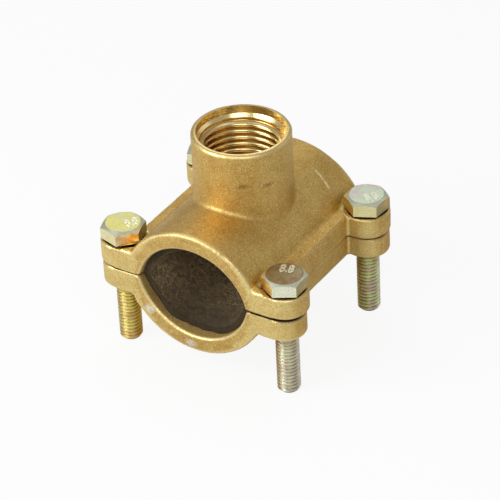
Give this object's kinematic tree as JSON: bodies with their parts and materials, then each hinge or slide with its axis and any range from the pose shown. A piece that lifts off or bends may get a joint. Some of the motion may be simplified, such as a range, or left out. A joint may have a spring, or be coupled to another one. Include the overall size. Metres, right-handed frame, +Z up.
{
  "type": "tapping saddle",
  "caption": "Two-piece cast clamp saddle for a pipe, with a threaded branch boss on top, rubber liners and hexagon bolts at its corners.",
  "frame": {"origin": "centre of the pipe seat, on the plane where the two castings part", "axes": "+Z up the branch boss, Y along the pipe, X across it; the front is the -Y end"},
  "size_m": [0.0582, 0.0508, 0.0568],
  "materials": {
    "saddle_brass": "cast, blasted, with machined boss, seats and thread",
    "saddle_rubber": "moulded, matt",
    "strap_brass": "cast, blasted",
    "strap_rubber": "moulded, matt",
    "bolt_zinc_front_left": "zinc plated, yellow passivated, iridescent",
    "bolt_zinc_front_right": "zinc plated, yellow passivated, iridescent",
    "bolt_zinc_rear_left": "zinc plated, yellow passivated, iridescent",
    "bolt_zinc_rear_right": "zinc plated, yellow passivated, iridescent"
  },
  "bodies": {
    "strap": {"strap_body": "strap_brass", "strap_liner": "strap_rubber"},
    "saddle": {"saddle_body": "saddle_brass", "saddle_liner": "saddle_rubber"},
    "bolt_front_left": {"bolt_front_left": "bolt_zinc_front_left"},
    "bolt_front_right": {"bolt_front_right": "bolt_zinc_front_right"},
    "bolt_rear_left": {"bolt_rear_left": "bolt_zinc_rear_left"},
    "bolt_rear_right": {"bolt_rear_right": "bolt_zinc_rear_right"}
  },
  "joints": [
    {"name": "saddle_lift", "type": "slide", "parent": "strap", "child": "saddle", "axis": [0, 0, 1], "range_m": [0, 0.017]},
    {"name": "bolt_front_left_turn", "type": "hinge", "parent": "saddle", "child": "bolt_front_left", "pos_m": [-0.02319, -0.0195, 0], "axis": [0, 0, 1], "range_deg": [0, 6121]},
    {"name": "bolt_front_right_turn", "type": "hinge", "parent": "saddle", "child": "bolt_front_right", "pos_m": [0.02319, -0.0195, 0], "axis": [0, 0, 1], "range_deg": [0, 6121]},
    {"name": "bolt_rear_left_turn", "type": "hinge", "parent": "saddle", "child": "bolt_rear_left", "pos_m": [-0.02319, 0.0195, 0], "axis": [0, 0, 1], "range_deg": [0, 6121]},
    {"name": "bolt_rear_right_turn", "type": "hinge", "parent": "saddle", "child": "bolt_rear_right", "pos_m": [0.02319, 0.0195, 0], "axis": [0, 0, 1], "range_deg": [0, 6121]}
  ],
  "couplings": [
    {"joint": "bolt_front_left_turn", "follows": "saddle_lift", "rad_per_m": 6283.2},
    {"joint": "bolt_front_right_turn", "follows": "saddle_lift", "rad_per_m": 6283.2},
    {"joint": "bolt_rear_left_turn", "follows": "saddle_lift", "rad_per_m": 6283.2},
    {"joint": "bolt_rear_right_turn", "follows": "saddle_lift", "rad_per_m": 6283.2}
  ]
}
